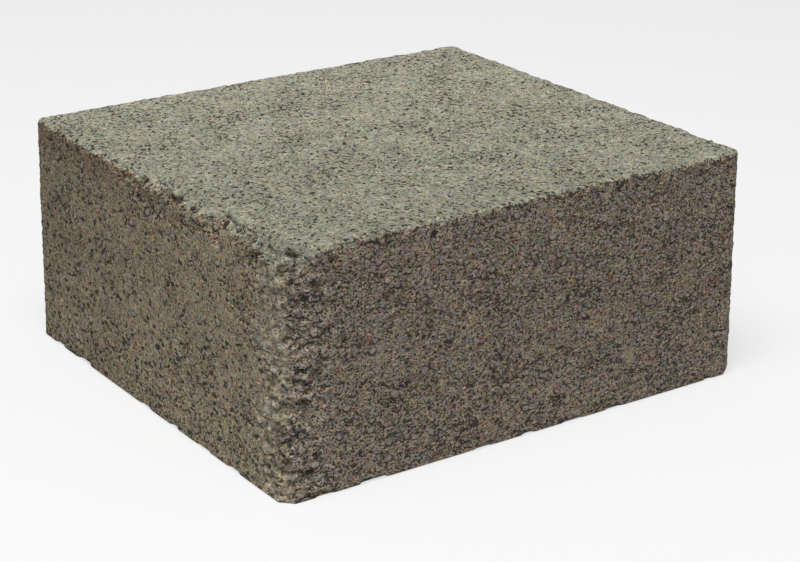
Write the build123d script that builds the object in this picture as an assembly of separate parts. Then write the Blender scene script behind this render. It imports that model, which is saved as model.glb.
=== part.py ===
from build123d import *
import math
import os
import random

# Concrete deck pier block: dry-mix concrete tamped in a steel mould and pushed out while still green.
# It is one casting, solid all through, with no core, pin or insert.
# Millimetres, +Z up. The origin is the middle of the base.
# The front wall faces -Y and the left wall faces -X. They meet at the near corner, the roughest one.

# Size of the block at its base, and its height
block_length = 305.0
block_width = 279.0
block_height = 134.0

# The mould's shape: each wall leans in by the draft, so that the block can be pushed out
draft = 2.2
corner_radius = 10.0
top_arris_radius = 2.5
base_arris_chamfer = 1.0

# The left top arris is rubbed down to a slope that widens towards the near corner
rubbed_breadth_near = 9.0
rubbed_breadth_back = 1.5
rubbed_slope = 38.0

# Corners knocked off by handling: how far in from the sharp corner each break lies
near_base_knock = 5.0
right_base_knock = 5.5
back_top_knock = 4.6
left_top_knock = 3.8

# Scars where a flake broke out of an arris: flat-bottomed, and longer than they are wide
scar_radius = 7.0
scar_depth = 1.1
scar_stretch = 1.6
scar_taper = 24.0
top_scar_spacing = 22.0
base_scar_spacing = 38.0

# The other three corners have kept their shape, with small shallow scars
corner_scar_radius = 3.5
corner_scar_depth = 0.4
corner_scar_spacing = 28.0

# The near corner and the near half of the rubbed arris have lost more and larger flakes
near_scar_radius = 8.5
near_scar_depth = 1.6
near_scar_spacing = 13.0

# Voids that a dropped stone leaves, and coarse stones that lie in their own voids
void_radius = 2.9
void_depth = 1.4
void_taper = 20.0
void_gap = 1.3
stone_radius = 3.6
stone_recess = 0.25
stone_bed = 4.5
stone_taper = 14.0
voids_per_wall = 10
stones_per_wall = 6
wall_margin = 15.0

# The tamped top face has voids only, scattered over it by a seeded generator
top_voids = 125
top_margin = 13.0
top_spacing = 10.0
top_seed = 7

# The front top arris has a row of voids just below it
row_under_arris = 5.5
row_spacing = 18.0

# The near corner has a column of stones on each of its walls
column_spacing = 13.0
column_inset = 8.0
column_width = 15.0
column_margin = 7.0
column_shift = 0.2

# A crumb of paste that the tamper pressed out over the front top arris
crumb_height = 5.0
crumb_stretch = 2.2
crumb_proud = 1.5
crumb_from_right = 37.0
crumb_outline = 1

# Cutters start this far outside the face that they cut, and the crumb this far below the top
rim = 0.4

# Broken outlines: the fewest sides of each kind, and how much their corners differ in reach
scar_sides = 5
void_sides = 4
stone_sides = 5
unevenness = 0.3

# Sizes and depths run from the smallest to the largest of these shares of the values above
scar_sizes = (0.6, 1.4)
scar_depths = (0.5, 1.5)
void_sizes = (0.6, 1.3)
stone_sizes = (0.75, 1.25)

# Strides of rows that are even but in no order. No two of them keep step with each other
first_share = 0.37
size_stride = 0.618
place_stride = 0.732
across_stride = 0.55
depth_stride = 0.414
corner_stride = 0.29
wall_stride = 0.569
wall_stride_per_degree = 0.00031
void_stride_shift = 0.05

wall_run = math.hypot(draft, block_height)
wall_lean = math.degrees(math.atan2(draft, block_height))


def eased(radius):
    """How far the middle of a rounded arris lies inside its sharp line."""
    return radius * (math.sqrt(2) - 1)


class Wall:
    """One leaning wall. Its plane has X along the base, Y up the slope and Z outwards."""

    def __init__(self, length, distance, turn):
        heading = math.radians(turn)
        out = Vector(math.sin(heading), -math.cos(heading), 0)
        along = Vector(math.cos(heading), math.sin(heading), 0)
        normal = out * block_height + Vector(0, 0, draft)
        self.plane = Plane(origin=out * distance, x_dir=along, z_dir=normal)
        self.length = length
        self.stride = wall_stride + wall_stride_per_degree * turn

    def half_length(self, up):
        """Half the wall's length at a height up its slope, which the draft shortens."""
        return self.length / 2 - draft * up / wall_run

    def top_arris(self):
        """The plane that touches the rounding of the top arris, with X along it."""
        outward = (self.plane.z_dir + Vector(0, 0, 1)).normalized()
        sharp = self.plane.from_local_coords((0, wall_run, 0))
        origin = sharp - outward * eased(top_arris_radius)
        return Plane(origin=origin, x_dir=self.plane.x_dir, z_dir=outward)

    def base_arris(self):
        """The plane of the chamfer of the base arris, with X along it."""
        outward = (self.plane.z_dir - Vector(0, 0, 1)).normalized()
        origin = self.plane.origin - outward * base_arris_chamfer / math.sqrt(2)
        return Plane(origin=origin, x_dir=self.plane.x_dir, z_dir=outward)

    def corner(self):
        """The plane that touches the rounded corner at the wall's left end, with X up the corner."""
        foot = self.plane.from_local_coords((-self.half_length(0), 0, 0))
        head = self.plane.from_local_coords((-self.half_length(wall_run), wall_run, 0))
        outward = (self.plane.z_dir - self.plane.x_dir).normalized()
        origin = foot - outward * eased(corner_radius)
        return Plane(origin=origin, x_dir=head - foot, z_dir=outward)


front = Wall(block_length, block_width / 2, 0)
right = Wall(block_width, block_length / 2, 90)
back = Wall(block_length, block_width / 2, 180)
left = Wall(block_width, block_length / 2, 270)
walls = [front, right, back, left]


def spread(index, stride, ends=(0.0, 1.0)):
    """A value between the ends for each index, even over a row but in no order."""
    share = (index * stride + first_share) % 1.0
    return ends[0] + (ends[1] - ends[0]) * share


def chunk(radius, index, fewest_sides, stretch=1.0):
    """The outline of a broken stone or flake, with the fewest sides or one more."""
    sides = fewest_sides + index % 2
    corners = []
    for number in range(sides):
        angle = 2 * math.pi * (number + spread(index, corner_stride)) / sides
        reach = radius * spread(index + number, size_stride, (1 - unevenness / 2, 1 + unevenness / 2))
        corners.append((stretch * reach * math.cos(angle), reach * math.sin(angle)))
    return Polygon(*corners, align=None)


def sunk(outline, depth, taper):
    """A solid that hangs below its outline and narrows downwards."""
    return Rot(180, 0, 0) * extrude(outline, amount=depth, taper=taper)


def mould_cast():
    """The block as it leaves the mould: leaning walls, rounded corners and eased arrises."""
    footprint = RectangleRounded(block_length, block_width, corner_radius)
    cast = extrude(footprint, amount=block_height, taper=wall_lean)
    cast = fillet(cast.faces().sort_by(Axis.Z)[-1].edges(), top_arris_radius)
    return chamfer(cast.faces().sort_by(Axis.Z)[0].edges(), base_arris_chamfer)


def rubbed_arris():
    """The plane of the slope along the left top arris: X runs to the back and Y down the slope."""
    arris_x = draft - block_length / 2
    near = Vector(arris_x + rubbed_breadth_near, -block_width / 2, block_height)
    far = Vector(arris_x + rubbed_breadth_back, block_width / 2, block_height)
    tilt = math.radians(rubbed_slope)
    down_slope = Vector(-math.cos(tilt), 0, -math.sin(tilt))
    return Plane(origin=near, x_dir=far - near, z_dir=(far - near).cross(down_slope))


def knocked_corner(x_side, y_side, z_side, reach):
    """The plane of a break at one corner, which faces straight out from that corner."""
    corner = Vector(x_side * block_length, y_side * block_width, (1 + z_side) * block_height) / 2
    outward = Vector(x_side, y_side, z_side).normalized()
    return Plane(origin=corner - outward * reach, z_dir=outward)


def breaks():
    """The planes of all that is rubbed or knocked off."""
    return [
        rubbed_arris(),
        knocked_corner(-1, -1, -1, near_base_knock),
        knocked_corner(1, -1, -1, right_base_knock),
        knocked_corner(1, 1, 1, back_top_knock),
        knocked_corner(-1, 1, 1, left_top_knock),
    ]


def scars_along(arris, start, end, spacing, radius, depth, first_breadth=0.0, last_breadth=0.0):
    """Scars along an arris plane's X. On a slope they lie anywhere across its breadth."""
    count = max(1, int((end - start) / spacing))
    scars = []
    for index in range(count):
        size = radius * spread(index, size_stride, scar_sizes)
        bite = depth * spread(index, depth_stride, scar_depths)
        share = (index + spread(index, place_stride)) / count
        breadth = first_breadth + (last_breadth - first_breadth) * share
        flake = sunk(chunk(size, index, scar_sides, scar_stretch), size + bite, scar_taper)
        place = Pos(start + (end - start) * share, breadth * spread(index, across_stride), size)
        scars.append(arris.location * place * flake)
    return scars


def wall_scars(wall):
    """The scars of one wall's top and base arrises and of its left corner."""
    top_room = wall.half_length(wall_run) - corner_radius
    base_room = wall.half_length(0) - corner_radius
    scars = scars_along(wall.base_arris(), -base_room, base_room, base_scar_spacing, scar_radius, scar_depth)
    if wall is left:
        slope = rubbed_arris()
        middle = block_width / 2
        steepness = math.cos(math.radians(rubbed_slope))
        near_breadth = rubbed_breadth_near / steepness
        back_breadth = rubbed_breadth_back / steepness
        middle_breadth = (near_breadth + back_breadth) / 2
        near_scars = (near_scar_spacing, near_scar_radius, near_scar_depth)
        back_scars = (top_scar_spacing, scar_radius, scar_depth)
        scars += scars_along(slope, 0, middle, *near_scars, near_breadth, middle_breadth)
        scars += scars_along(slope, middle, block_width, *back_scars, middle_breadth, back_breadth)
    else:
        scars += scars_along(wall.top_arris(), -top_room, top_room, top_scar_spacing, scar_radius, scar_depth)
    if wall is front:
        scars += scars_along(wall.corner(), 0, wall_run, near_scar_spacing, near_scar_radius, near_scar_depth)
    else:
        kept_scars = (corner_scar_spacing, corner_scar_radius, corner_scar_depth)
        scars += scars_along(wall.corner(), 0, wall_run, *kept_scars)
    return scars


def void(plane, along, up, radius, index):
    """The hollow that a stone leaves in a face, narrowing inwards."""
    hollow = sunk(chunk(radius, index, void_sides), void_depth + rim, void_taper)
    return plane.location * Pos(along, up, rim) * hollow


def stone(wall, along, up, radius, index):
    """A stone bedded in a wall, which the mould has left with a flat face just inside the wall's own."""
    outline = chunk(radius, index, stone_sides)
    body = extrude(outline, amount=stone_bed - stone_recess, taper=stone_taper)
    return wall.plane.location * Pos(along, up, -stone_bed) * body


def wall_places(wall, count, shift):
    """Places over a wall, clear of its arrises, each with a size from 0 to 1."""
    room = wall.half_length(0) - wall_margin
    rise = wall_run - 2 * wall_margin
    places = []
    for index in range(count):
        along = room * (2 * spread(index, wall.stride + shift) - 1)
        up = wall_margin + rise * (index + 0.5) / count
        places.append((along, up, spread(index, depth_stride)))
    return places


def row_places(wall):
    """Places along a row just under a wall's top arris."""
    up = wall_run - row_under_arris
    room = wall.half_length(up) - corner_radius
    count = int(2 * room / row_spacing)
    places = []
    for index in range(count):
        along = room * (2 * (index + spread(index, place_stride)) / count - 1)
        drop = void_radius * spread(index, across_stride)
        places.append((along, up - drop, spread(index, size_stride)))
    return places


def column_places(wall, end):
    """Places up a column beside one end of a wall: end is -1 for its left and 1 for its right."""
    rise = wall_run - 2 * column_margin
    count = int(rise / column_spacing)
    places = []
    for index in range(count):
        up = column_margin + rise * (index + 0.5 + column_shift * end) / count
        inset = column_inset + column_width * spread(index, size_stride)
        places.append((end * (wall.half_length(up) - inset), up, spread(index, depth_stride)))
    return places


def voids_and_stones(wall):
    """The hollows of one wall, and the stones that lie in some of them."""
    empty = wall_places(wall, voids_per_wall, void_stride_shift)
    filled = wall_places(wall, stones_per_wall, 0)
    if wall is front:
        empty += row_places(wall)
        filled += column_places(wall, -1)
    if wall is left:
        filled += column_places(wall, 1)
    hollows = []
    bedded = []
    for index, (along, up, share) in enumerate(empty):
        radius = void_radius * (void_sizes[0] + (void_sizes[1] - void_sizes[0]) * share)
        hollows.append(void(wall.plane, along, up, radius, index))
    for index, (along, up, share) in enumerate(filled):
        radius = stone_radius * (stone_sizes[0] + (stone_sizes[1] - stone_sizes[0]) * share)
        hollows.append(void(wall.plane, along, up, radius + void_gap, index))
        bedded.append(stone(wall, along, up, radius, index))
    return hollows, bedded


def top_places():
    """Places scattered over the top face, none nearer to another than the spacing."""
    room_x = block_length / 2 - draft - top_margin
    room_y = block_width / 2 - draft - top_margin
    chance = random.Random(top_seed)
    places = []
    while len(places) < top_voids:
        place = (chance.uniform(-room_x, room_x), chance.uniform(-room_y, room_y))
        if all(math.dist(place, other) > top_spacing for other in places):
            places.append(place)
    return places


def top_hollows():
    """The voids of the top face."""
    top = Plane(origin=(0, 0, block_height))
    hollows = []
    for index, (along, across) in enumerate(top_places()):
        radius = void_radius * spread(index, size_stride, void_sizes)
        hollows.append(void(top, along, across, radius, index))
    return hollows


def crumb():
    """The crumb of paste that hangs over the front top arris."""
    along = front.half_length(wall_run) - crumb_from_right
    up = wall_run - rim - crumb_height / 2
    outline = chunk(crumb_height / 2, crumb_outline, stone_sides, crumb_stretch)
    body = extrude(outline, amount=stone_bed + crumb_proud, taper=stone_taper)
    return front.plane.location * Pos(along, up, -stone_bed) * body


block = mould_cast()
for plane in breaks():
    block = split(block, bisect_by=plane, keep=Keep.BOTTOM)

scars = []
hollows = top_hollows()
stones = [crumb()]
for wall in walls:
    wall_hollows, wall_stones = voids_and_stones(wall)
    scars += wall_scars(wall)
    hollows += wall_hollows
    stones += wall_stones
block = block - scars
block = block - hollows
block = block + stones

os.makedirs("parts", exist_ok=True)
print("volume", block.volume, "solids", len(block.solids()), "valid", block.is_valid)
export_step(block, "parts/pier_block.step")
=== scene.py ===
# %% [markdown]
# # A concrete deck pier block
# The block is one casting of dry-mix concrete: sand, small stones and just enough cement paste to bind them.
# The mix is tamped into a steel mould and pushed out while it is still green, so every face is a skin of
# grains and pores, smeared where the mould slid past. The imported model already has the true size, the draft
# of the walls and the larger breaks. What is added here is that skin, its stones and pores, and the colour.

# %% The frame
import math

import bpy
import numpy as np
from mathutils import Matrix, Vector


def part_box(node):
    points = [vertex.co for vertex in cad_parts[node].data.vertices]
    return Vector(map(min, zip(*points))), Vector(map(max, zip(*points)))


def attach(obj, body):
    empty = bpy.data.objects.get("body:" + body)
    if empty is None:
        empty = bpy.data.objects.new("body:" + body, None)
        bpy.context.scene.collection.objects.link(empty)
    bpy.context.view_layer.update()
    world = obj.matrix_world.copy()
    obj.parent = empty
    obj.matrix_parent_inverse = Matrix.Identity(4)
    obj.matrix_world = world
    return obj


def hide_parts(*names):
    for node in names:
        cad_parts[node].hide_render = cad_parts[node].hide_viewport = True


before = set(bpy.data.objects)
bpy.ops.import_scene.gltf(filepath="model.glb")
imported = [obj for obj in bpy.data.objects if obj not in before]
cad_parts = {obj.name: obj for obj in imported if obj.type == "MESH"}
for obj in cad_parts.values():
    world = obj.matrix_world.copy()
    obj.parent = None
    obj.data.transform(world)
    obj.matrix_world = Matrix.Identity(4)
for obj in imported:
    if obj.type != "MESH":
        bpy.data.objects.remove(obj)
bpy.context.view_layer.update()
mm = 0.001
node_low, node_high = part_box("pier_block")
length, width, height = node_high - node_low
# Each wall leans in by this much up to the top, so that the casting slides out of its mould
draft = 2.2 * mm
print("block", round(length, 4), "x", round(width, 4), "x", round(height, 4), "m")

# %% [markdown]
# ## The camera
# The photograph was taken from a good metre away with a lens about twice as long as a normal one, looking
# down on the corner between the two walls that show. The place was worked out from the block's seven visible
# corners. A camera can be aimed with a constraint or by angles. A matrix of right, up and back is used here,
# because it also holds the slight roll of the hand-held camera.

# %% The camera
camera_place = Vector((-0.6407, -0.9415, 0.4867))
camera_azimuth = math.radians(34.81)
camera_pitch = math.radians(21.23)
camera_roll = math.radians(0.38)
camera_lens = 94.6

forward = Vector(
    (
        math.sin(camera_azimuth) * math.cos(camera_pitch),
        math.cos(camera_azimuth) * math.cos(camera_pitch),
        -math.sin(camera_pitch),
    )
)
level = Vector((math.cos(camera_azimuth), -math.sin(camera_azimuth), 0))
upright = level.cross(forward)
right = level * math.cos(camera_roll) + upright * math.sin(camera_roll)
up = upright * math.cos(camera_roll) - level * math.sin(camera_roll)

lens_data = bpy.data.cameras.new("camera")
lens_data.lens = camera_lens
lens_data.clip_start = 0.05
camera = bpy.data.objects.new("camera", lens_data)
camera.matrix_world = Matrix.Translation(camera_place) @ Matrix((right, up, -forward)).transposed().to_4x4()
bpy.context.collection.objects.link(camera)
bpy.context.scene.camera = camera
print("camera", tuple(round(value, 3) for value in camera_place), "lens", camera_lens)

# %% [markdown]
# ## One helper for nodes, one for colours
# Materials and the relief below are node trees. One small function adds a node with its settings and links,
# so that each line reads as the node does in the editor. Colours are written as sRGB hex, as a paint card or
# a picture gives them, and one function turns them to the linear values that the renderer works in.


# %% Helpers
def add_node(tree, kind, inputs=(), **settings):
    """Adds a node. An input may be a value, a socket, or a node, whose first live output is linked."""
    node = tree.nodes.new(kind)
    for name, value in settings.items():
        setattr(node, name, value)
    named = inputs.items() if isinstance(inputs, dict) else enumerate(inputs)
    for key, value in named:
        if isinstance(key, str):
            socket = next(item for item in node.inputs if item.name == key and item.enabled)
        else:
            socket = [item for item in node.inputs if item.enabled][key]
        if isinstance(value, bpy.types.Node):
            value = next(item for item in value.outputs if item.enabled)
        if isinstance(value, bpy.types.NodeSocket):
            tree.links.new(value, socket)
        else:
            socket.default_value = value
    return node


def srgb(code):
    """Linear colour of a hex code such as 8E8C7D."""
    values = [int(code[place : place + 2], 16) / 255 for place in (0, 2, 4)]
    return (*[value / 12.92 if value <= 0.04045 else ((value + 0.055) / 1.055) ** 2.4 for value in values], 1)


print("concrete grey 8E8C7D is", tuple(round(value, 3) for value in srgb("8E8C7D")), "in linear values")

# %% [markdown]
# ## The floor
# The floor is a large sheet of pale paper. In the photograph it is plain white, apart from the block's own
# shadow. More light would whiten it too, but would wash out the block. So part of the paper shines white,
# and only for the camera: no light from that part reaches the block.


# %% The floor
def deselect_all():
    bpy.ops.object.select_all(action="DESELECT")


floor_side = 30
white_share = 0.62
deselect_all()
bpy.ops.mesh.primitive_plane_add(size=floor_side, location=(0, 0, 0))
floor = bpy.context.object
floor.name = "floor"
floor_material = bpy.data.materials.new("pale_studio_paper")
floor_material.use_nodes = True
tree = floor_material.node_tree
tree.nodes.clear()
camera_ray = add_node(tree, "ShaderNodeLightPath").outputs["Is Camera Ray"]
seen_share = add_node(tree, "ShaderNodeMath", [camera_ray, white_share], operation="MULTIPLY")
paper = add_node(tree, "ShaderNodeBsdfDiffuse", {"Color": srgb("F2F2F2")})
white = add_node(tree, "ShaderNodeEmission", {"Color": srgb("FFFFFF"), "Strength": 1.0})
shader = add_node(tree, "ShaderNodeMixShader", [seen_share, paper, white])
add_node(tree, "ShaderNodeOutputMaterial", {"Surface": shader})
floor.data.materials.append(floor_material)
print("floor", floor_side, "m wide")

# %% [markdown]
# ## The light
# A soft box hangs above and a little in front, so the top is the lightest face and both walls lie in soft
# shade. An even grey sky fills the shadows, and the camera sees it as white. The lamp's power is worked out
# from the light that should fall on the block, so it stays right when the lamp is moved.

# %% The light
sky_level = 0.32
world = bpy.data.worlds.new("studio")
bpy.context.scene.world = world
world.use_nodes = True
tree = world.node_tree
tree.nodes.clear()
camera_ray = add_node(tree, "ShaderNodeLightPath").outputs["Is Camera Ray"]
sky = add_node(tree, "ShaderNodeBackground", {"Color": srgb("FFFFFF"), "Strength": sky_level})
backdrop = add_node(tree, "ShaderNodeBackground", {"Color": srgb("FFFFFF"), "Strength": 1.0})
shader = add_node(tree, "ShaderNodeMixShader", [camera_ray, sky, backdrop])
add_node(tree, "ShaderNodeOutputWorld", {"Surface": shader})

lamp_place = Vector((-0.55, -0.45, 1.9))
lamp_side = 1.0
lamp_light = 0.78
towards = Vector((0, 0, 0.07)) - lamp_place
lamp_data = bpy.data.lights.new("soft_box", "AREA")
lamp_data.shape = "SQUARE"
lamp_data.size = lamp_side
lamp_data.energy = lamp_light * math.pi**2 * towards.length**2
lamp = bpy.data.objects.new("soft_box", lamp_data)
lamp.location = lamp_place
lamp.rotation_euler = towards.to_track_quat("-Z", "Y").to_euler()
bpy.context.collection.objects.link(lamp)
bpy.context.scene.view_settings.view_transform = "Standard"
print("soft box", round(lamp_data.energy, 1), "W, at", round(towards.length, 2), "m")

# %% [markdown]
# ## The skin of the block
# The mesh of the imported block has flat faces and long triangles, with nothing to carve into. Subdividing
# those would leave slivers. A voxel remesh lays an even net of small quads over the whole solid instead, and
# keeps its breaks to half a voxel. Stones and pores are then pressed inwards, never outwards, so the block
# keeps its size.

# %% An even net over the block
cad_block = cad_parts["pier_block"]
deselect_all()
block = cad_block.copy()
block.data = cad_block.data.copy()
block.parent = None
# The tags that come with the copy would make it a CAD node too, so they go
for key in list(block.keys()):
    del block[key]
block.name = "pier_block_skin"
bpy.context.collection.objects.link(block)
bpy.context.view_layer.objects.active = block
block.select_set(True)
bpy.ops.object.mode_set(mode="EDIT")
bpy.ops.mesh.select_all(action="SELECT")
bpy.ops.mesh.remove_doubles(threshold=0.01 * mm)
bpy.ops.object.mode_set(mode="OBJECT")

net_step = 1.0 * mm
net = block.modifiers.new("net", "REMESH")
net.mode = "VOXEL"
net.voxel_size = net_step
bpy.ops.object.modifier_apply(modifier=net.name)
print("net", len(block.data.polygons), "quads")

# %% [markdown]
# ## Where a point lies on the block
# The relief and the colour both change over the block: the top is paler than the walls, the end walls are
# smoother than the front, and the near corner is the most broken. Masks could be painted by hand, but they
# would be pictures to store. Here both are told where they are by the same distances, from the walls, the
# top, the arrises and the near corner.

# %% Distances over the block
# Settings of a Map Range node that changes smoothly from one value to another
smooth = {"interpolation_type": "SMOOTHSTEP"}


def block_places(tree, position):
    """Distances, in metres, of a point from the block's faces, arrises and near corner."""
    split = add_node(tree, "ShaderNodeSeparateXYZ", [position])
    x, y, z = split.outputs
    across = add_node(tree, "ShaderNodeMath", [x], operation="ABSOLUTE")
    deep = add_node(tree, "ShaderNodeMath", [y], operation="ABSOLUTE")
    lean = -draft / height
    half_length = add_node(tree, "ShaderNodeMath", [z, lean, length / 2], operation="MULTIPLY_ADD")
    half_width = add_node(tree, "ShaderNodeMath", [z, lean, width / 2], operation="MULTIPLY_ADD")
    from_end = add_node(tree, "ShaderNodeMath", [half_length, across], operation="SUBTRACT")
    from_side = add_node(tree, "ShaderNodeMath", [half_width, deep], operation="SUBTRACT")
    from_top = add_node(tree, "ShaderNodeMath", [height, z], operation="SUBTRACT")
    from_bed = add_node(tree, "ShaderNodeMath", [from_top, z], operation="MINIMUM")
    walls = add_node(tree, "ShaderNodeMath", [from_end, from_side], operation="MINIMUM")
    greater = add_node(tree, "ShaderNodeMath", [from_end, from_side], operation="MAXIMUM")
    sunk = add_node(tree, "ShaderNodeMath", [walls, from_top], operation="MINIMUM")
    middle = add_node(tree, "ShaderNodeMath", [greater, from_bed], operation="MINIMUM")
    from_arris = add_node(tree, "ShaderNodeMath", [walls, middle], operation="MAXIMUM")
    corner = (length / 2, width / 2, 0)
    from_near = add_node(tree, "ShaderNodeVectorMath", [position, corner], operation="ADD")
    flat = add_node(tree, "ShaderNodeVectorMath", [from_near, (1, 1, 0)], operation="MULTIPLY")
    near = add_node(tree, "ShaderNodeVectorMath", [flat], operation="LENGTH").outputs["Value"]
    from_left = add_node(tree, "ShaderNodeMath", [x, length / 2 - draft], operation="ADD")
    left_arris = add_node(tree, "ShaderNodeMath", [from_left, from_top], operation="ADD")
    return {
        "y": y,
        "z": z,
        "from_end": from_end,
        "from_side": from_side,
        "from_top": from_top,
        "walls": walls,
        "sunk": sunk,
        "from_corner": greater,
        "from_arris": from_arris,
        "near": near,
        "left_arris": left_arris,
    }


# %% [markdown]
# ## The bed of stones
# The coarse part of the mix is stones of about 7 mm. A Voronoi texture gives one cell a stone. Tamping lays
# flat stones down, so it is squeezed in height, and a noise bends its straight borders, because no crushed
# stone has them. Relief and colour read this one bed, so a stone that stands out has a tone of its own too.

# %% Stones in their bed
stone_size = 7 * mm
squeeze = (1.0, 1.0, 1.3)


def stone_bed(tree, position):
    """The place of a point in the bed, that place bent, and the stones that lie there."""
    laid = add_node(tree, "ShaderNodeVectorMath", [position, squeeze], operation="MULTIPLY")
    warp = add_node(tree, "ShaderNodeTexNoise", [laid, 1 / (9 * mm), 1.0, 0.5]).outputs["Color"]
    warp = add_node(tree, "ShaderNodeVectorMath", [warp, (6 * mm,) * 3], operation="MULTIPLY")
    warped = add_node(tree, "ShaderNodeVectorMath", [laid, warp], operation="ADD")
    bed = {"Vector": warped, "Scale": 1 / stone_size}
    stones = add_node(tree, "ShaderNodeTexVoronoi", bed, feature="F1")
    return laid, warped, stones


# %% [markdown]
# ## The worn arris
# The left top arris was knocked and rubbed in handling, most of all on its near half. One share, from 0 to 1,
# says how worn a point is. It fades out along the arris and away from it, so that no border shows.


# %% How worn a point is
def worn_share(tree, places, start, end):
    """Share of wear on the left top arris. It fades out between two distances from the arris."""
    worn = add_node(tree, "ShaderNodeMapRange", [places["left_arris"], start, end, 1.0, 0.0], **smooth)
    worn_length = add_node(tree, "ShaderNodeMapRange", [places["y"], -10 * mm, 60 * mm, 1.0, 0.0], **smooth)
    return add_node(tree, "ShaderNodeMath", [worn, worn_length], operation="MULTIPLY")


# %% [markdown]
# ## Stones, pores and crumbled arrises
# Geometry nodes press the relief into the net. Each layer is a share times a depth in millimetres: gaps
# between stones and grit, holes where the paste didn't close, crumbling along the arrises, and bites and
# cracks in the worn arris. Displacing the shader instead would be quicker to set up, but it would not show
# in the exported mesh.

# %% The tree of the relief
tree = bpy.data.node_groups.new("concrete_relief", "GeometryNodeTree")
tree.interface.new_socket("Geometry", in_out="INPUT", socket_type="NodeSocketGeometry")
tree.interface.new_socket("Geometry", in_out="OUTPUT", socket_type="NodeSocketGeometry")
source = add_node(tree, "NodeGroupInput")
position = add_node(tree, "GeometryNodeInputPosition")
places = block_places(tree, position)
laid, warped, stones = stone_bed(tree, position)
# Shares from 0 to 1: at the near corner, along all the arrises, and on the worn one
near = add_node(tree, "ShaderNodeMapRange", [places["near"], 12 * mm, 34 * mm, 1.0, 0.0], **smooth)
arris = add_node(tree, "ShaderNodeMapRange", [places["from_arris"], 0.0, 6 * mm, 1.0, 0.0], **smooth)
worn = worn_share(tree, places, 9 * mm, 20 * mm)
print("places", len(tree.nodes), "nodes")

# %% Grit and stones
grit_size = 3.6 * mm
grit_depth = 0.38 * mm
grit = add_node(tree, "ShaderNodeTexVoronoi", {"Vector": warped, "Scale": 1 / grit_size}, feature="F1")
grit_gap = add_node(tree, "ShaderNodeMapRange", [grit, 0.1, 0.7, 0.0, 1.0], **smooth)
depth = add_node(tree, "ShaderNodeMath", [grit_gap, grit_depth], operation="MULTIPLY")

# Stones stand out by 0.25 mm, and by 1.35 mm more at the near corner, where their paste has gone
stone_gap = add_node(tree, "ShaderNodeMapRange", [stones, 0.2, 0.62, 0.0, 1.0], **smooth)
stone_rise = add_node(tree, "ShaderNodeMath", [near, 1.35 * mm, 0.25 * mm], operation="MULTIPLY_ADD")
depth = add_node(tree, "ShaderNodeMath", [stone_gap, stone_rise, depth], operation="MULTIPLY_ADD")
print("grit of", grit_size / mm, "mm and stones of", stone_size / mm, "mm")

# %% Holes
hole_size = 4.5 * mm
patches = add_node(tree, "ShaderNodeTexNoise", [position, 1 / (35 * mm), 1.0, 0.5])
holes = add_node(tree, "ShaderNodeTexNoise", [laid, 1 / hole_size, 1.5, 0.55])
hole_level = add_node(tree, "ShaderNodeMath", [patches, 0.35, holes], operation="MULTIPLY_ADD")
hole_level = add_node(tree, "ShaderNodeMath", [near, -0.04, hole_level], operation="MULTIPLY_ADD")
hole = add_node(tree, "ShaderNodeMapRange", [hole_level, 0.48, 0.54, 1.0, 0.0], **smooth)
# They are shallow at the arrises, which would look chewed otherwise, and deepest at the near corner
kept = [places["from_arris"], 1 * mm, 5 * mm, 0.25 * mm, 0.9 * mm]
kept = add_node(tree, "ShaderNodeMapRange", kept, **smooth)
hole_rise = add_node(tree, "ShaderNodeMath", [near, 1.2 * mm, kept], operation="MULTIPLY_ADD")
depth = add_node(tree, "ShaderNodeMath", [hole, hole_rise, depth], operation="MULTIPLY_ADD")
print("holes of", hole_size / mm, "mm")

# %% Crumbled arrises
crumb_size = 4.5 * mm
crumbs = add_node(tree, "ShaderNodeTexNoise", [position, 1 / crumb_size, 2.0, 0.6])
crumble = add_node(tree, "ShaderNodeMapRange", [crumbs, 0.35, 0.7, 0.0, 1.0], **smooth)
crumble_rise = add_node(tree, "ShaderNodeMath", [near, 0.7 * mm, 0.3 * mm], operation="MULTIPLY_ADD")
crumble_rise = add_node(tree, "ShaderNodeMath", [crumble_rise, arris], operation="MULTIPLY")
depth = add_node(tree, "ShaderNodeMath", [crumble, crumble_rise, depth], operation="MULTIPLY_ADD")
print("crumbs of", crumb_size / mm, "mm")

# %% Bites and cracks in the worn arris
bite_size = 13 * mm
bite_depth = 2.8 * mm
crack_depth = 1.8 * mm
bites = add_node(tree, "ShaderNodeTexNoise", [position, 1 / bite_size, 3.0, 0.55])
bite = add_node(tree, "ShaderNodeMapRange", [bites, 0.47, 0.53, 0.0, 1.0], **smooth)
bite_rise = add_node(tree, "ShaderNodeMath", [worn, bite_depth], operation="MULTIPLY")
depth = add_node(tree, "ShaderNodeMath", [bite, bite_rise, depth], operation="MULTIPLY_ADD")
# A crack runs where that noise passes its middle value, and comes and goes with the holes
lines = add_node(tree, "ShaderNodeMath", [bites, -0.5], operation="ADD")
lines = add_node(tree, "ShaderNodeMath", [lines], operation="ABSOLUTE")
crack = add_node(tree, "ShaderNodeMapRange", [lines, 0.0, 0.02, 1.0, 0.0], **smooth)
crack_rise = add_node(tree, "ShaderNodeMapRange", [holes, 0.45, 0.55, 0.0, crack_depth], **smooth)
crack_rise = add_node(tree, "ShaderNodeMath", [crack_rise, worn], operation="MULTIPLY")
depth = add_node(tree, "ShaderNodeMath", [crack, crack_rise, depth], operation="MULTIPLY_ADD")
print("bites of", bite_size / mm, "mm, up to", bite_depth / mm, "mm deep")

# %% [markdown]
# ## Pressing it in
# The sum of the depths is pushed in along a normal that is averaged over neighbours, because the raw normal
# of a small void would fold the net over itself. Nothing is pressed into the base, which stands flat.

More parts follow.
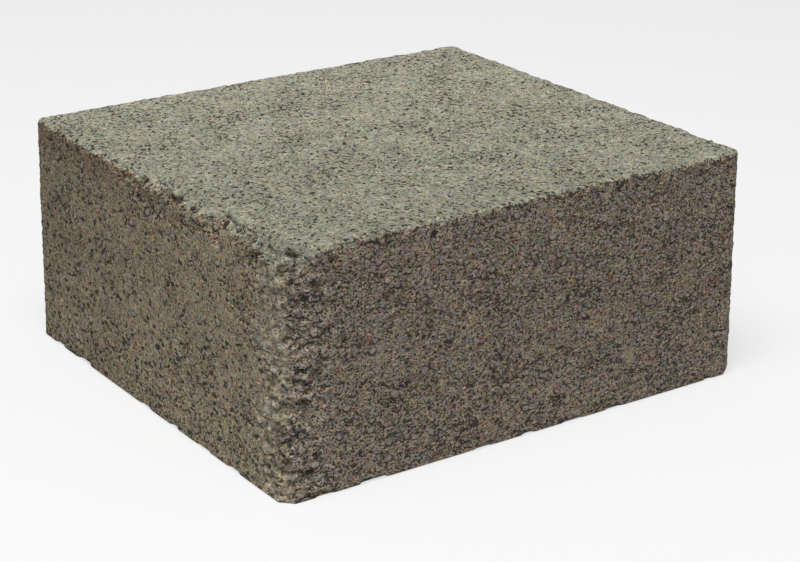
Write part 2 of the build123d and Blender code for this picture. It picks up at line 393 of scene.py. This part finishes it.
# %% Pressing the relief into the net
normal = add_node(tree, "GeometryNodeInputNormal")
even = {"Value": normal, "Iterations": 2}
even_normal = add_node(tree, "GeometryNodeBlurAttribute", even, data_type="FLOAT_VECTOR")
off_base = add_node(tree, "ShaderNodeMapRange", [places["z"], 0.2 * mm, 1.5 * mm, 0.0, -1.0], **smooth)
inward = add_node(tree, "ShaderNodeMath", [depth, off_base], operation="MULTIPLY")
push = add_node(tree, "ShaderNodeVectorMath", {0: even_normal, "Scale": inward}, operation="SCALE")
moved = add_node(tree, "ShaderNodeVectorMath", [position, push], operation="ADD")
pressed = add_node(tree, "GeometryNodeSetPosition", {"Geometry": source, "Position": moved})
add_node(tree, "NodeGroupOutput", [pressed])
print("relief", len(tree.nodes), "nodes")

relief = block.modifiers.new("relief", "NODES")
relief.node_group = tree
bpy.ops.object.modifier_apply(modifier=relief.name)
bpy.data.node_groups.remove(tree)

# %% [markdown]
# ## Fewer triangles
# The net is as fine on the flat as in a pore. Decimating it by collapse takes triangles where the skin is
# flat and leaves them where it is rough, which a coarser net wouldn't do. Collapsing can move a corner out
# by a hair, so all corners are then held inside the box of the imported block.

# %% Fewer triangles where the skin is flat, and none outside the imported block
triangle_limit = 190_000
thinning = block.modifiers.new("thinning", "DECIMATE")
thinning.ratio = triangle_limit / (2 * len(block.data.polygons))
bpy.ops.object.modifier_apply(modifier=thinning.name)
corners = np.empty(3 * len(block.data.vertices))
block.data.vertices.foreach_get("co", corners)
corners = np.clip(corners.reshape(-1, 3), node_low, node_high)
block.data.vertices.foreach_set("co", corners.ravel())
block.data.update()
bpy.ops.object.shade_smooth()
print("skin", len(block.data.polygons), "faces")

# %% [markdown]
# ## A flat layout of the skin
# Programs that can't read node materials need them painted to pictures, and a picture needs a layout. An
# automatic unwrap would cut this rough skin into thousands of scraps. Each face goes instead to one of six
# sheets, the one whose cast face its middle lies nearest to, seen square on and all at one scale. Distances
# choose the sheet and not the face's direction, so that the walls of a pore stay with the pore.

# %% The sheet that each face goes to
# Sheets in order: top, base, front, right end, back, left end
mesh = block.data
centres = np.empty(3 * len(mesh.polygons))
mesh.polygons.foreach_get("center", centres)
x, y, z = centres.reshape(-1, 3).T
half_length = length / 2 - draft * z / height
half_width = width / 2 - draft * z / height
distances = (height - z, z, half_width + y, half_length - x, half_width - y, half_length + x)
nearest = np.argmin(distances, axis=0)
print("faces on each sheet", np.bincount(nearest))

# %% Where the sheets lie in the layout
# Three rows of two sheets. For each sheet: its directions across and upwards, its middle and its foot
sheet_gap = 6 * mm
row_one = width + 2 * sheet_gap
row_two = row_one + height + sheet_gap
second = length + 2 * sheet_gap
across = np.array(((1, 0, 0), (-1, 0, 0), (1, 0, 0), (0, 1, 0), (-1, 0, 0), (0, -1, 0)))
upwards = np.array(((0, 1, 0), (0, 1, 0), (0, 0, 1), (0, 0, 1), (0, 0, 1), (0, 0, 1)))
middle_u = np.array([sheet_gap, second, sheet_gap, second, sheet_gap, second])
middle_u += np.array([length, length, length, width, length, width]) / 2
start_v = np.array([sheet_gap + width / 2, sheet_gap + width / 2, row_one, row_one, row_two, row_two])
print("upper rows start at", round(row_one, 3), "and", round(row_two, 3), "m")

# %% The layout
loop_totals = np.empty(len(mesh.polygons), dtype=np.int32)
mesh.polygons.foreach_get("loop_total", loop_totals)
loop_vertices = np.empty(len(mesh.loops), dtype=np.int32)
mesh.loops.foreach_get("vertex_index", loop_vertices)
sheets = np.repeat(nearest, loop_totals)
points = corners[loop_vertices]
layout = np.empty((len(points), 2))
layout[:, 0] = (points * across[sheets]).sum(axis=1) + middle_u[sheets]
layout[:, 1] = (points * upwards[sheets]).sum(axis=1) + start_v[sheets]
layout /= 2 * length + 3 * sheet_gap
mesh.uv_layers.new(name="OFBake").data.foreach_set("uv", layout.ravel())
print("layout", layout.min(axis=0).round(3), "to", layout.max(axis=0).round(3))

# %% [markdown]
# ## Dry-cast concrete
# The mix shows as grains of 2 mm and sand of 1 mm, each with its own tint and shade, in a film of cement
# paste that colours them all: mauve and olive greys on the walls, a paler green grey on the tamped top. The
# surface is dry, and almost wholly matt.
#
# Top, end walls and front each have their own skin. Grains make the borders between them ragged, and where
# the worn arris is bitten, the brown of the wall reaches up into the top. So each border is a difference of
# distances that noise bends. A mask from the direction of the faces would follow every pore instead.

# %% Top, end walls and front
cloud_size = 28 * mm
ragged_size = 4 * mm
concrete = bpy.data.materials.new("dry_cast_concrete")
concrete.use_nodes = True
tree = concrete.node_tree
tree.nodes.clear()
here = add_node(tree, "ShaderNodeTexCoord").outputs["Object"]
places = block_places(tree, here)
laid, warped, stones = stone_bed(tree, here)
near = add_node(tree, "ShaderNodeMapRange", [places["near"], 14 * mm, 38 * mm, 1.0, 0.0], **smooth)
worn = worn_share(tree, places, 12 * mm, 24 * mm)

clouds = add_node(tree, "ShaderNodeTexNoise", [here, 1 / cloud_size, 3.0, 0.6])
ragged = add_node(tree, "ShaderNodeTexNoise", [here, 1 / ragged_size, 3.0, 0.7])
bites = add_node(tree, "ShaderNodeTexNoise", [here, 1 / bite_size, 3.0, 0.55])
bite = add_node(tree, "ShaderNodeMapRange", [bites, 0.40, 0.58, 3 * mm, -7 * mm], **smooth)
top_edge = add_node(tree, "ShaderNodeMath", [places["walls"], places["from_top"]], operation="SUBTRACT")
for share, shift in ((ragged, 9 * mm), (worn, bite), (near, 5 * mm)):
    top_edge = add_node(tree, "ShaderNodeMath", [share, shift, top_edge], operation="MULTIPLY_ADD")
on_top = add_node(tree, "ShaderNodeMapRange", [top_edge, 3.2 * mm, 4.4 * mm, 0.0, 1.0], **smooth)
off_top = add_node(tree, "ShaderNodeMath", [1.0, on_top], operation="SUBTRACT")

end_edge = add_node(tree, "ShaderNodeMath", [places["from_side"], places["from_end"]], operation="SUBTRACT")
end_edge = add_node(tree, "ShaderNodeMath", [clouds, 24 * mm, end_edge], operation="MULTIPLY_ADD")
on_end = add_node(tree, "ShaderNodeMapRange", [end_edge, 4 * mm, 16 * mm, 0.0, off_top], **smooth)
print("zones", len(tree.nodes), "nodes")

# %% [markdown]
# ## Grains and sand
# Each grain is a cell of a Voronoi texture of its real size. The cell's random colour later picks its tint
# and shade. A noise bends the cells first, because straight borders would look like crazed glaze.

# %% Grains and sand
grain_size = 2.0 * mm
sand_size = 0.95 * mm
bend = add_node(tree, "ShaderNodeTexNoise", [laid, 1 / (2.5 * mm), 1.0, 0.5]).outputs["Color"]
bend = add_node(tree, "ShaderNodeVectorMath", [bend, (1.8 * mm,) * 3], operation="MULTIPLY")
bent = add_node(tree, "ShaderNodeVectorMath", [laid, bend], operation="ADD")
grains = add_node(tree, "ShaderNodeTexVoronoi", {"Vector": bent, "Scale": 1 / grain_size}, feature="F1")
sand = add_node(tree, "ShaderNodeTexVoronoi", {"Vector": bent, "Scale": 1 / sand_size}, feature="F1")
grain_random = add_node(tree, "ShaderNodeSeparateColor", [grains.outputs["Color"]])
sand_random = add_node(tree, "ShaderNodeSeparateColor", [sand.outputs["Color"]])
stone_random = add_node(tree, "ShaderNodeSeparateColor", [stones.outputs["Color"]])
# Swells of the skin, a few grains wide
lump_size = 5 * mm
lumps = add_node(tree, "ShaderNodeTexNoise", [laid, 1 / lump_size, 2.0, 0.6])
print("grains of", grain_size / mm, "mm and sand of", sand_size / mm, "mm")

# %% [markdown]
# ## Pits, gaps and pores
# A dry mix leaves holes of every size: pits between sand grains, ragged gaps and rounder pores. Little light
# gets out of them again, so they are dark. The bump alone can't shade that, so one share, called hollow,
# says how open the skin is at a point, and darkens the colour as well. Tamping closes most pits of the top,
# the paste fills those of the end walls, and a band under the top arris has more gaps than the rest.

# %% Pits between the sand grains
pit_size = 1.2 * mm
pits = add_node(tree, "ShaderNodeTexNoise", [laid, 1 / pit_size, 1.5, 0.6])
pit_bar = add_node(tree, "ShaderNodeMath", [clouds, -0.07, 0.487], operation="MULTIPLY_ADD")
for share, change in ((on_top, -0.078), (on_end, -0.045)):
    pit_bar = add_node(tree, "ShaderNodeMath", [share, change, pit_bar], operation="MULTIPLY_ADD")
pit_end = add_node(tree, "ShaderNodeMath", [pit_bar, -0.03], operation="ADD")
pit = add_node(tree, "ShaderNodeMapRange", [pits, pit_bar, pit_end, 0.0, 1.0], **smooth)
print("pits of", pit_size / mm, "mm")

# %% Ragged gaps
gap_size = 2.8 * mm
arris_band = [places["from_top"], 3 * mm, 9 * mm, off_top, 0.0]
arris_band = add_node(tree, "ShaderNodeMapRange", arris_band, **smooth)
gaps = add_node(tree, "ShaderNodeTexNoise", [laid, 1 / gap_size, 2.0, 0.55])
gap_level = add_node(tree, "ShaderNodeMath", [clouds, 0.25, gaps], operation="MULTIPLY_ADD")
for share, change in ((on_end, 0.02), (near, 0.06), (on_top, -0.015), (arris_band, -0.03)):
    gap_level = add_node(tree, "ShaderNodeMath", [share, change, gap_level], operation="MULTIPLY_ADD")
gap = add_node(tree, "ShaderNodeMapRange", [gap_level, 0.465, 0.50, 1.0, 0.0], **smooth)
hollow = add_node(tree, "ShaderNodeMath", [pit, gap], operation="MAXIMUM")
print("gaps of", gap_size / mm, "mm")

# %% Pores
# Each size is given with the radius of its largest pore, in cells. Away from the end walls all are smaller
pore_sizes = ((2.6 * mm, 0.37), (5.0 * mm, 0.32))
open_share = add_node(tree, "ShaderNodeMath", [on_end, 0.08, -0.08], operation="MULTIPLY_ADD")
for pore_size, amount in pore_sizes:
    pores = add_node(tree, "ShaderNodeTexVoronoi", {"Vector": bent, "Scale": 1 / pore_size}, feature="F1")
    pore_random = add_node(tree, "ShaderNodeSeparateColor", [pores.outputs["Color"]])
    radius = add_node(tree, "ShaderNodeMath", [pore_random, amount, open_share], operation="MULTIPLY_ADD")
    rim = add_node(tree, "ShaderNodeMath", [radius, 0.05], operation="ADD")
    pore = add_node(tree, "ShaderNodeMapRange", [pores, radius, rim, 1.0, 0.0], **smooth)
    hollow = add_node(tree, "ShaderNodeMath", [hollow, pore], operation="MAXIMUM")
print("pores of", len(pore_sizes), "sizes")

# %% [markdown]
# ## Gaps under stones
# Paste sags and leaves a gap under a bedded stone, and the gap lies in shadow, so a stone is seen by the
# dark line below it, which is painted shadow. A ring around each cell would look like a drawn outline. Here
# the line is kept only where the border lies lower than the middle of its stone. Stones of 7 mm show so in
# broken patches, and beads of 3 mm on the front.


# %% Gaps under stones and beads
def under_stone_shadows(tree, place, size):
    """Painted shadow in gaps under stones of a size: dark lines on the lower part of each stone's border."""
    cells = {"Vector": place, "Scale": 1 / size}
    middle = add_node(tree, "ShaderNodeTexVoronoi", cells, feature="F1").outputs["Position"]
    borders = add_node(tree, "ShaderNodeTexVoronoi", cells, feature="DISTANCE_TO_EDGE")
    line = add_node(tree, "ShaderNodeMapRange", [borders, 0.05, 0.15, 1.0, 0.0], **smooth)
    from_middle = add_node(tree, "ShaderNodeVectorMath", [place, middle], operation="SUBTRACT")
    below = add_node(tree, "ShaderNodeSeparateXYZ", [from_middle]).outputs["Z"]
    under = add_node(tree, "ShaderNodeMapRange", [below, -0.3 * size, -0.05 * size, 1.0, 0.0], **smooth)
    return add_node(tree, "ShaderNodeMath", [line, under], operation="MULTIPLY")


broken = add_node(tree, "ShaderNodeMath", [near, 0.07, bites], operation="MULTIPLY_ADD")
broken = add_node(tree, "ShaderNodeMath", [arris_band, 0.1, broken], operation="MULTIPLY_ADD")
broken = add_node(tree, "ShaderNodeMapRange", [broken, 0.5, 0.6, 0.0, off_top], **smooth)
# Painted shadow under the 7 mm stones, in broken patches
crevice_shadow = under_stone_shadows(tree, warped, stone_size)
crevice_shadow = add_node(tree, "ShaderNodeMath", [crevice_shadow, broken], operation="MULTIPLY")
hollow = add_node(tree, "ShaderNodeMath", [hollow, crevice_shadow], operation="MAXIMUM")

bead_size = 3.2 * mm
bead_strength = 0.6
beads = add_node(tree, "ShaderNodeMath", [on_end, -0.75, off_top], operation="MULTIPLY_ADD")
beaded = add_node(tree, "ShaderNodeMapRange", [lumps, 0.4, 0.55, 0.0, beads], **smooth)
# Painted shadow under the 3 mm beads
bead_gap_shadow = under_stone_shadows(tree, bent, bead_size)
for share in (beaded, bead_strength):
    bead_gap_shadow = add_node(tree, "ShaderNodeMath", [bead_gap_shadow, share], operation="MULTIPLY")
hollow = add_node(tree, "ShaderNodeMath", [hollow, bead_gap_shadow], operation="MAXIMUM")
print("gaps under stones of", stone_size / mm, "mm and beads of", bead_size / mm, "mm")

# %% [markdown]
# ## Half-buried pebbles
# About one stone in ten came up against the steel: a pale round pebble in a ring where the paste has drawn
# back from it. The ring is dark with painted shade, darkest below as painted shadow. The bed of stones
# already holds them, so the cell's random colour picks them, more often at the near corner. A second scatter
# of spheres would clash with the stones.

# %% Half-buried pebbles
rare = add_node(tree, "ShaderNodeMath", [near, 0.2, stone_random.outputs["Blue"]], operation="MULTIPLY_ADD")
rare = add_node(tree, "ShaderNodeMapRange", [rare, 0.88, 0.9, 0.0, 1.0], **smooth)
pebble = add_node(tree, "ShaderNodeMapRange", [stones, 0.27, 0.31, rare, 0.0], **smooth)
shadowed_ring = add_node(tree, "ShaderNodeMapRange", [stones, 0.4, 0.48, rare, 0.0], **smooth)
shadowed_ring = add_node(tree, "ShaderNodeMath", [shadowed_ring, pebble], operation="SUBTRACT")
pebble_middle = stones.outputs["Position"]
from_middle = add_node(tree, "ShaderNodeVectorMath", [warped, pebble_middle], operation="SUBTRACT")
ring_side = add_node(tree, "ShaderNodeSeparateXYZ", [from_middle]).outputs["Z"]
# Painted shadow: the ring is darkest below the pebble's middle
ring_shadow_below = add_node(tree, "ShaderNodeMapRange", [ring_side, -1.2 * mm, 1.2 * mm, 1.0, 0.25], **smooth)
shadowed_ring = add_node(tree, "ShaderNodeMath", [shadowed_ring, ring_shadow_below], operation="MULTIPLY")
free = add_node(tree, "ShaderNodeMath", [pebble, -0.8, 1.0], operation="MULTIPLY_ADD")
hollow = add_node(tree, "ShaderNodeMath", [hollow, free], operation="MULTIPLY")
hollow = add_node(tree, "ShaderNodeMath", [hollow, shadowed_ring], operation="MAXIMUM")
print("pebbles", len(tree.nodes), "nodes so far")

# %% [markdown]
# ## Smears of paste
# The mould drags wet paste over the walls as it slides off, and that closes the holes it passes. A smear is
# about 10 mm wide and twice as high. The end wall by the near corner has more of them.

# %% Smears of paste
smear_size = 10 * mm
dragged = add_node(tree, "ShaderNodeVectorMath", [here, (1.0, 1.0, 0.5)], operation="MULTIPLY")
smears = add_node(tree, "ShaderNodeTexNoise", [dragged, 1 / smear_size, 2.0, 0.6])
smear = add_node(tree, "ShaderNodeMapRange", [smears, 0.6, 0.74, 0.0, off_top], **smooth)
near_smear = add_node(tree, "ShaderNodeMath", [near, on_end], operation="MULTIPLY")
smear = add_node(tree, "ShaderNodeMath", [near_smear, 0.5, smear], operation="MULTIPLY_ADD")
smear = add_node(tree, "ShaderNodeMath", [smear, 1.0], operation="MINIMUM")
closed = add_node(tree, "ShaderNodeMath", [smear, -0.7, 1.0], operation="MULTIPLY_ADD")
hollow = add_node(tree, "ShaderNodeMath", [hollow, closed], operation="MULTIPLY")
print("smears of", smear_size / mm, "mm")

# %% [markdown]
# ## Height of the fine grain
# Grains of a millimetre or two are finer than the mesh. A bump gives them their light and shade without a
# triangle more. Its height is the sum of small domes, in metres. Grains stand out most on the front, less
# where paste fills between them on the end walls, and least on the tamped top.

# %% Height of the fine grain
filled = add_node(tree, "ShaderNodeMath", [on_end, -0.25, 1.0], operation="MULTIPLY_ADD")
filled = add_node(tree, "ShaderNodeMath", [on_top, -0.35, filled], operation="MULTIPLY_ADD")
grain_dome = add_node(tree, "ShaderNodeMapRange", [grains, 0.15, 0.75, 1.0, 0.0], **smooth)
grain_dome = add_node(tree, "ShaderNodeMath", [grain_dome, filled], operation="MULTIPLY")
sand_dome = add_node(tree, "ShaderNodeMapRange", [sand, 0.1, 0.75, 1.0, 0.0], **smooth)
pebble_dome = add_node(tree, "ShaderNodeMapRange", [stones, 0.0, 0.34, rare, 0.0], **smooth)
rise = add_node(tree, "ShaderNodeMath", [sand_dome, 0.3 * mm], operation="MULTIPLY")
domes = ((grain_dome, 0.85 * mm), (lumps, 2.4 * mm), (hollow, -0.7 * mm), (pebble_dome, 0.8 * mm))
for dome, dome_height in domes:
    rise = add_node(tree, "ShaderNodeMath", [dome, dome_height, rise], operation="MULTIPLY_ADD")
bump = add_node(tree, "ShaderNodeBump", {"Strength": 1.0, "Distance": 1.0, "Height": rise})
print("bump of", len(domes) + 1, "heights")

# %% [markdown]
# ## Colour of the paste, with painted light and shade
# The film of paste gives each face its hue. The front shifts between olive and mauve greys with its swells.
# The end walls are browner, and painted darker to the back, as painted shade. Their worn arris is stained
# brown on its back half.
# The tamped top is a pale green grey, and it is painted palest at the far corner, as painted light.

# %% Colour of the walls
mauve = add_node(tree, "ShaderNodeMapRange", [lumps, 0.35, 0.65, 1.0, 0.0], **smooth)
front_film = {"Factor": mauve, "A": srgb("B5AFA1"), "B": srgb("B7AAA3")}
front_film = add_node(tree, "ShaderNodeMix", front_film, data_type="RGBA")
end_film = {"Factor": mauve, "A": srgb("AFAA93"), "B": srgb("B2A796")}
end_film = add_node(tree, "ShaderNodeMix", end_film, data_type="RGBA")
# Painted shade: the end walls are painted darker towards the back
painted_shade_to_back = add_node(tree, "ShaderNodeMapRange", [places["y"], -0.4 * width, 0.5 * width, 0.0, 1.0], **smooth)
end_film = add_node(tree, "ShaderNodeMix", [painted_shade_to_back, end_film, srgb("A19A87")], data_type="RGBA")
wall = {"Factor": on_end, "A": front_film, "B": end_film}
wall = add_node(tree, "ShaderNodeMix", wall, data_type="RGBA")
wall = add_node(tree, "ShaderNodeMix", {"Factor": smear, "A": wall, "B": srgb("B1AC9F")}, data_type="RGBA")
stain = add_node(tree, "ShaderNodeMapRange", [places["left_arris"], 6 * mm, 26 * mm, 1.0, 0.0], **smooth)
stain_end = add_node(tree, "ShaderNodeMapRange", [places["y"], -20 * mm, 60 * mm, 0.0, clouds], **smooth)
stain = add_node(tree, "ShaderNodeMath", [stain, stain_end], operation="MULTIPLY")
wall = add_node(tree, "ShaderNodeMix", {"Factor": stain, "A": wall, "B": srgb("8F745B")}, data_type="RGBA")
print("walls", len(tree.nodes), "nodes so far")

# %% Colour of the top
# Painted light: the top is painted lighter towards the far corner
depth_along = add_node(tree, "ShaderNodeVectorMath", [here, (0.57, 0.82, 0)], operation="DOT_PRODUCT")
top_paste_and_painted_light = add_node(tree, "ShaderNodeMapRange", [depth_along, -0.2, 0.2, 0.0, 1.0], **smooth)
top_paste_and_painted_light = {"Factor": top_paste_and_painted_light, "A": srgb("AFB2A2"), "B": srgb("C9CCBA")}
top_paste_and_painted_light = add_node(tree, "ShaderNodeMix", top_paste_and_painted_light, data_type="RGBA")
face = add_node(tree, "ShaderNodeMix", {"Factor": on_top, "A": wall, "B": top_paste_and_painted_light}, data_type="RGBA")
print("paste", len(tree.nodes), "nodes so far")

# %% [markdown]
# ## Tints of the grains
# The sand is of many rocks: grey, green, rose, yellow, blue, tan, and now and then rust or orange. A stepped
# ramp deals these out by each grain's random number, and they multiply the paste, which films them all. The
# film hides more of them on the top. Pebbles came up clean, so they show a grey of their own.

# %% Tints of the grains
grain_tints = ((0.16, "D6E0D4"), (0.3, "EED4D4"), (0.44, "E4E0BC"), (0.58, "D8D8E6"), (0.7, "FCEACC"))
grain_tints += ((0.82, "C6B8AC"), (0.9, "FCE8DC"), (0.975, "D09A88"), (0.99, "F0C896"))
tints = add_node(tree, "ShaderNodeValToRGB", [grain_random.outputs["Red"]])
tints.color_ramp.interpolation = "CONSTANT"
tints.color_ramp.elements.remove(tints.color_ramp.elements[1])
tints.color_ramp.elements[0].color = srgb("E6DCD2")
for start, colour in grain_tints:
    tints.color_ramp.elements.new(start).color = srgb(colour)
shown = add_node(tree, "ShaderNodeMath", [on_top, -0.3, 1.0], operation="MULTIPLY_ADD")
shown = add_node(tree, "ShaderNodeMath", [near, -0.2, shown], operation="MULTIPLY_ADD")
tinted = {"Factor": shown, "A": face, "B": tints.outputs["Color"]}
tinted = add_node(tree, "ShaderNodeMix", tinted, data_type="RGBA", blend_type="MULTIPLY")
pebble_share = add_node(tree, "ShaderNodeMath", [pebble, 0.8], operation="MULTIPLY")
tinted = {"Factor": pebble_share, "A": tinted, "B": srgb("9C978D")}
tinted = add_node(tree, "ShaderNodeMix", tinted, data_type="RGBA")
print("tints", len(tints.color_ramp.elements))

# %% [markdown]
# ## Light and dark
# Shade is kept apart from hue, as a row of factors around 1 that are multiplied together. The first ones
# come from the patterns: each grain and each bit of sand has its own tone, and clouds lighten and darken
# the skin. The swells are painted lighter on their crowns and darker in the dips, as painted shade, and the
# hollows and the seams between grains are dark with painted shade.

# %% Shade of the patterns
grain_shade = [grain_random.outputs["Green"], 0.0, 1.0, 0.87, 1.13]
sand_shade = [sand_random.outputs["Red"], 0.0, 1.0, 0.88, 1.12]
# The front is the most even face, so its painted swell shade and its clouds are the weakest
lump_painted_low = add_node(tree, "ShaderNodeMath", [beads, 0.08, 0.86], operation="MULTIPLY_ADD")
lump_painted_high = add_node(tree, "ShaderNodeMath", [beads, -0.08, 1.14], operation="MULTIPLY_ADD")
# Painted shade: lighter on the crowns of the swells, darker in the dips between them
lump_painted_shade = [lumps, 0.3, 0.7, lump_painted_low, lump_painted_high]
cloud_low = add_node(tree, "ShaderNodeMath", [beads, 0.03, 0.94], operation="MULTIPLY_ADD")
cloud_high = add_node(tree, "ShaderNodeMath", [beads, -0.03, 1.06], operation="MULTIPLY_ADD")
cloud_shade = [clouds, 0.3, 0.7, cloud_low, cloud_high]
hollow_shade = [hollow, 0.0, 1.0, 1.0, 0.12]
# Painted shade: darker along the seams between grains
seam_painted_shade = [grains, 0.48, 0.78, 1.0, 0.72]
pattern_shades = [grain_shade, sand_shade, lump_painted_shade, cloud_shade, hollow_shade, seam_painted_shade]
print("shades of the patterns", len(pattern_shades))

# %% [markdown]
# ## Shade of the places
# The other factors come from the place. At the near corner the stones stand clear of their paste, with gaps
# darkened by painted shade and tones of their own, but its walls are paler. The foot of the walls gets light
# back from the floor.
# The voids that the imported block already has are dark inside, with dirt and painted shade, which is told
# from how deep a point is sunk.

# %% Shade of the places
# Painted shade: the gaps between the stones at the near corner are darkened
stone_gap = add_node(tree, "ShaderNodeMapRange", [stones, 0.35, 0.62, 0.0, near], **smooth)
stone_gap_painted_shade = [stone_gap, 0.0, 1.0, 1.0, 0.72]
near_wall = add_node(tree, "ShaderNodeMath", [near, off_top], operation="MULTIPLY")
near_shade = [near_wall, 0.0, 1.0, 1.0, 1.3]
foot_shade = [places["z"], 0.0, 70 * mm, 1.08, 1.0]
stone_low = add_node(tree, "ShaderNodeMapRange", [near, 0.0, 1.0, 1.0, 0.88], **smooth)
stone_high = add_node(tree, "ShaderNodeMapRange", [near, 0.0, 1.0, 1.0, 1.14], **smooth)
stone_tone = [stone_random.outputs["Red"], 0.0, 1.0, stone_low, stone_high]
place_shades = [stone_gap_painted_shade, near_shade, foot_shade, stone_tone]

# Corners, the worn slope and the near corner lie deep too, and are no voids, so they are left out
void_range = [places["from_corner"], 7 * mm, 12 * mm, 0.0, 0.6]
void_range = add_node(tree, "ShaderNodeMapRange", void_range, **smooth)
void_range = [places["left_arris"], 18 * mm, 26 * mm, 0.0, void_range]
void_range = add_node(tree, "ShaderNodeMapRange", void_range, **smooth)
void_range = add_node(tree, "ShaderNodeMapRange", [near, 0.0, 0.6, void_range, 0.0], **smooth)
# Dirt and painted shade: darker where a point lies sunk in a void
void = add_node(tree, "ShaderNodeMapRange", [places["sunk"], 1.3 * mm, 2.3 * mm, 0.0, void_range], **smooth)
void_shade_and_dirt = add_node(tree, "ShaderNodeMath", [1.0, void], operation="SUBTRACT")
print("shades of the places", len(place_shades) + 1)

# %% [markdown]
# ## The finished concrete
# Concrete is no metal and holds no gloss: its roughness is close to 1, and its IOR is the usual 1.5.

# %% The finished concrete
shade = 1.0
for inputs in pattern_shades + place_shades:
    layer = add_node(tree, "ShaderNodeMapRange", inputs, **smooth)
    shade = add_node(tree, "ShaderNodeMath", [shade, layer], operation="MULTIPLY")
shade = add_node(tree, "ShaderNodeMath", [shade, void_shade_and_dirt], operation="MULTIPLY")
colour = add_node(tree, "ShaderNodeVectorMath", {0: tinted, "Scale": shade}, operation="SCALE")
inputs = {"Base Color": colour, "Roughness": 0.95, "IOR": 1.5, "Normal": bump}
surface = add_node(tree, "ShaderNodeBsdfPrincipled", inputs)
add_node(tree, "ShaderNodeOutputMaterial", {"Surface": surface})
block.data.materials.clear()
block.data.materials.append(concrete)
print("concrete", len(tree.nodes), "nodes")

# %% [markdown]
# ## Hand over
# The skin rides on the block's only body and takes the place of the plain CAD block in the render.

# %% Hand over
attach(block, "root")
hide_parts("pier_block")
